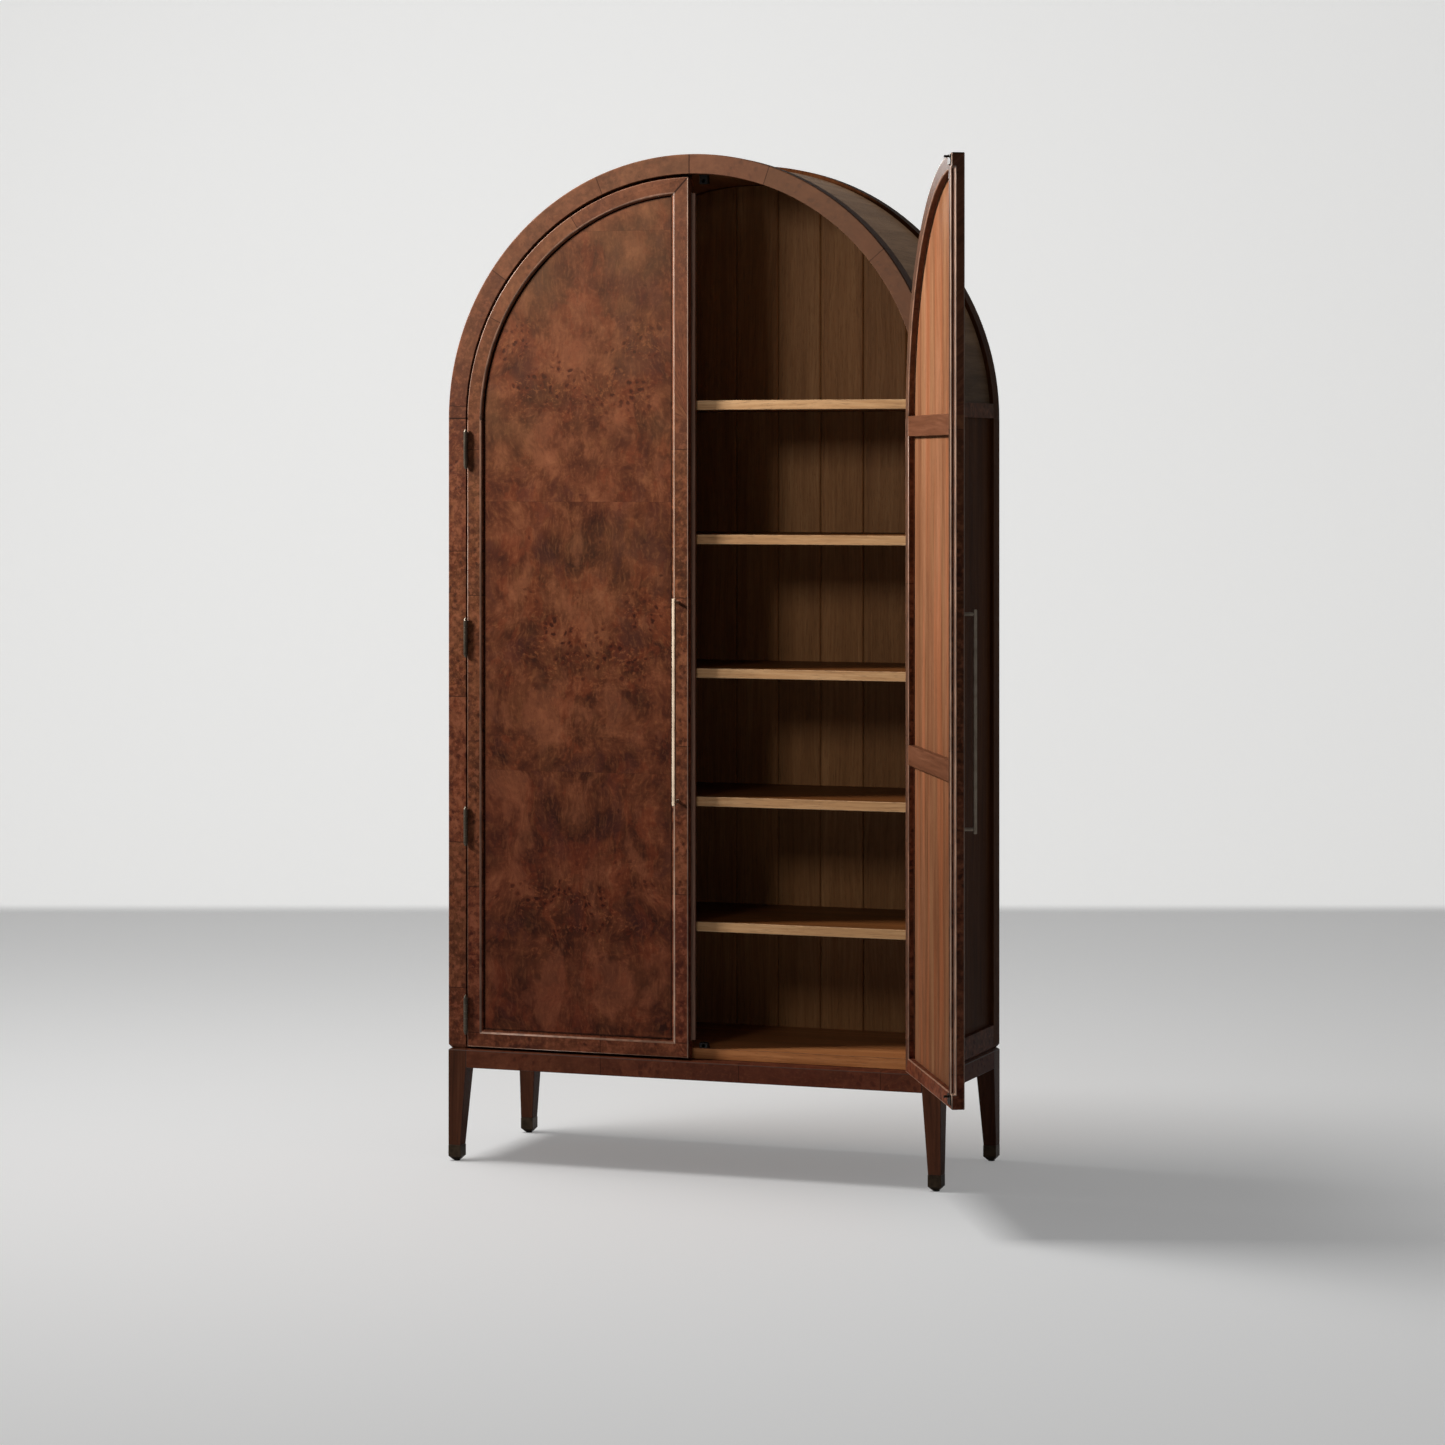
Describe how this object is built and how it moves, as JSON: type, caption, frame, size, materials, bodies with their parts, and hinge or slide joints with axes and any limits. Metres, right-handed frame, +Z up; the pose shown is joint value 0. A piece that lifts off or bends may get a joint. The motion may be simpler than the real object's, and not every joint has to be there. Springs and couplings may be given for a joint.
{
  "type": "arched display cabinet",
  "caption": "Tall arched display cabinet in burl veneer, with framed arched doors, slim metal pulls, boarded back, inner shelves and a low stand on tapered legs.",
  "frame": {"origin": "on the floor, under the middle of the case's width and depth", "axes": "+X to the right seen from the front, +Y from the front to the back, +Z up"},
  "size_m": [1.3057, 0.8854, 2.134],
  "materials": {
    "face_frame_burl": "satin lacquered burl veneer",
    "door_frame_burl": "satin lacquered burl veneer",
    "door_panel_burl": "satin lacquered burl veneer, plain veneer inside",
    "door_back_wood": "satin lacquered wood",
    "astragal_wood": "satin lacquered wood",
    "rear_frame_wood": "satin lacquered wood",
    "side_wood": "satin lacquered wood",
    "lining_wood": "satin lacquered wood",
    "stand_wood": "satin lacquered wood",
    "block_wood": "bare wood",
    "deck_wood": "satin lacquered wood",
    "back_board_wood": "satin stained boards",
    "shelf_wood": "satin lacquered wood",
    "hinge_metal": "dark bronze, satin",
    "screw_steel": "dark steel, satin",
    "strike_steel": "zinc plated",
    "pull_metal": "dark brushed brass",
    "foot_cap_metal": "dark bronze, satin",
    "support_metal": "nickel plated",
    "glide_plastic": "matt black",
    "catch_plastic": "matt dark brown"
  },
  "bodies": {
    "case": {"front_stile_left": "face_frame_burl", "front_stile_right": "face_frame_burl", "front_arch_left": "face_frame_burl", "front_arch_right": "face_frame_burl", "rear_stile_left": "rear_frame_wood", "rear_stile_right": "rear_frame_wood", "rear_arch": "rear_frame_wood", "side_rails_left": "side_wood", "side_rails_right": "side_wood", "side_panel_left": "side_wood", "side_panel_right": "side_wood", "side_lining_left": "lining_wood", "side_lining_right": "lining_wood", "arch_skin": "side_wood", "arch_lining": "lining_wood", "deck": "deck_wood", "back_boards": "back_board_wood", "shelf_1": "shelf_wood", "shelf_2": "shelf_wood", "shelf_3": "shelf_wood", "shelf_4": "shelf_wood", "shelf_5": "shelf_wood", "shelf_supports": "support_metal", "apron_front": "stand_wood", "apron_rear": "stand_wood", "side_aprons": "stand_wood", "leg_front_left": "stand_wood", "leg_front_right": "stand_wood", "leg_rear_left": "stand_wood", "leg_rear_right": "stand_wood", "foot_caps": "foot_cap_metal", "glides": "glide_plastic", "corner_blocks": "block_wood", "stand_screws": "screw_steel", "case_hinge_leaves": "hinge_metal", "hinge_pins": "hinge_metal", "case_hinge_screws": "screw_steel", "catches": "catch_plastic"},
    "left_door": {"left_door_hinge_stile": "door_frame_burl", "left_door_meeting_stile": "door_frame_burl", "left_door_arch_rail": "door_frame_burl", "left_door_bottom_rail": "door_frame_burl", "left_door_cross_rails": "door_back_wood", "left_door_panel": "door_panel_burl", "left_door_pull": "pull_metal", "left_door_strikes": "strike_steel", "left_door_hinge_leaves": "hinge_metal", "left_door_hinge_screws": "screw_steel", "left_door_astragal": "astragal_wood"},
    "right_door": {"right_door_hinge_stile": "door_frame_burl", "right_door_meeting_stile": "door_frame_burl", "right_door_arch_rail": "door_frame_burl", "right_door_bottom_rail": "door_frame_burl", "right_door_cross_rails": "door_back_wood", "right_door_panel": "door_panel_burl", "right_door_pull": "pull_metal", "right_door_strikes": "strike_steel", "right_door_hinge_leaves": "hinge_metal", "right_door_hinge_screws": "screw_steel"}
  },
  "joints": [
    {"name": "left_door_hinge", "type": "hinge", "parent": "case", "child": "left_door", "pos_m": [-0.5075, -0.215, 0.91625], "axis": [0, 0, -1], "range_deg": [0, 170]},
    {"name": "right_door_hinge", "type": "hinge", "parent": "case", "child": "right_door", "pos_m": [0.5075, -0.215, 0.91625], "axis": [0, 0, 1], "range_deg": [-118, 52]}
  ]
}
